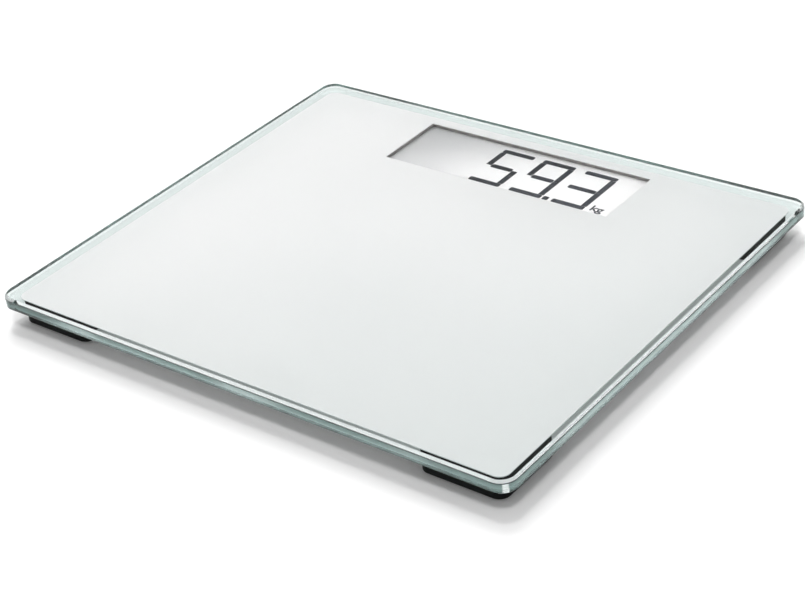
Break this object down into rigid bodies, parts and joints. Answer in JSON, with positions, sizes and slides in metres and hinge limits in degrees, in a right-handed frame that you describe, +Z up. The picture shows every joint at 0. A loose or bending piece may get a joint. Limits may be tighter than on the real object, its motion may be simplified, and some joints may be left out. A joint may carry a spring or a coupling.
{
  "type": "bathroom scale",
  "caption": "Flat electronic bathroom scale: clear-edged glass plate printed white underneath, wide LCD window near the back edge, low black load-cell feet, battery door and unit button below.",
  "frame": {"origin": "on the floor, under the middle of the glass plate", "axes": "+X along the front edge to the right, +Y from the user's front edge towards the display, +Z up"},
  "size_m": [0.34, 0.29, 0.0195],
  "materials": {
    "clear_glass": "polished toughened glass with a faint green body",
    "white_enamel": "white printed enamel, seen through the glass",
    "display_frame": "satin grey moulding",
    "lcd": "pale grey polarising film",
    "reflector": "brushed silver film",
    "ribbon": "amber film",
    "circuit_board": "green solder mask",
    "chip": "black moulding",
    "steel": "plated steel",
    "gauge_film": "copper-coloured film",
    "white_plastic": "fine spark-eroded texture",
    "grey_plastic": "satin moulding",
    "black_plastic": "satin moulding",
    "black_foam": "foam tape",
    "black_rubber": "matt rubber",
    "cable": "grey PVC jacket"
  },
  "bodies": {
    "platform": {"glass_platform": "clear_glass", "print_layer": "white_enamel", "display_frame": "display_frame", "lcd_panel": "lcd", "lcd_reflector": "reflector", "lcd_ribbon": "ribbon", "circuit_board": "circuit_board", "controller_chip": "chip", "tact_switch": "chip", "electronics_housing": "white_plastic", "housing_cover": "white_plastic", "cover_screw_front_left": "steel", "cover_screw_front_right": "steel", "cover_screw_back_left": "steel", "cover_screw_back_right": "steel", "coin_cell": "steel", "battery_holder": "black_plastic", "battery_contact_top": "steel", "battery_contact_side": "steel", "wire_cover_left": "white_plastic", "wire_cover_right": "white_plastic", "adhesive_pad_front_left": "black_foam", "adhesive_pad_front_right": "black_foam", "adhesive_pad_back_left": "black_foam", "adhesive_pad_back_right": "black_foam", "foot_housing_front_left": "black_plastic", "foot_housing_front_right": "black_plastic", "foot_housing_back_left": "black_plastic", "foot_housing_back_right": "black_plastic", "load_cell_front_left": "steel", "load_cell_front_right": "steel", "load_cell_back_left": "steel", "load_cell_back_right": "steel", "strain_gauge_front_left": "gauge_film", "strain_gauge_front_right": "gauge_film", "strain_gauge_back_left": "gauge_film", "strain_gauge_back_right": "gauge_film", "cell_cable_front_left": "cable", "cell_cable_front_right": "cable", "cell_cable_back_left": "cable", "cell_cable_back_right": "cable"},
    "foot_front_left": {"foot_plate_front_left": "black_plastic", "foot_pad_front_left": "black_rubber"},
    "foot_front_right": {"foot_plate_front_right": "black_plastic", "foot_pad_front_right": "black_rubber"},
    "foot_back_left": {"foot_plate_back_left": "black_plastic", "foot_pad_back_left": "black_rubber"},
    "foot_back_right": {"foot_plate_back_right": "black_plastic", "foot_pad_back_right": "black_rubber"},
    "battery_hatch": {"battery_door": "white_plastic"},
    "unit_key": {"unit_button": "grey_plastic"}
  },
  "joints": [
    {"name": "foot_give_front_left", "type": "slide", "parent": "platform", "child": "foot_front_left", "axis": [0, 0, 1], "range_m": [0, 0.0002], "stiffness_N_per_m": 20000, "springref_m": -0.0003},
    {"name": "foot_give_front_right", "type": "slide", "parent": "platform", "child": "foot_front_right", "axis": [0, 0, 1], "range_m": [0, 0.0002], "stiffness_N_per_m": 20000, "springref_m": -0.0003},
    {"name": "foot_give_back_left", "type": "slide", "parent": "platform", "child": "foot_back_left", "axis": [0, 0, 1], "range_m": [0, 0.0002], "stiffness_N_per_m": 20000, "springref_m": -0.0003},
    {"name": "foot_give_back_right", "type": "slide", "parent": "platform", "child": "foot_back_right", "axis": [0, 0, 1], "range_m": [0, 0.0002], "stiffness_N_per_m": 20000, "springref_m": -0.0003},
    {"name": "battery_door_slide", "type": "slide", "parent": "platform", "child": "battery_hatch", "axis": [0, -1, 0], "range_m": [0, 0.034]},
    {"name": "unit_button_press", "type": "slide", "parent": "platform", "child": "unit_key", "axis": [0, 0, 1], "range_m": [0, 0.0006], "stiffness_N_per_m": 400, "springref_m": -0.0003}
  ]
}
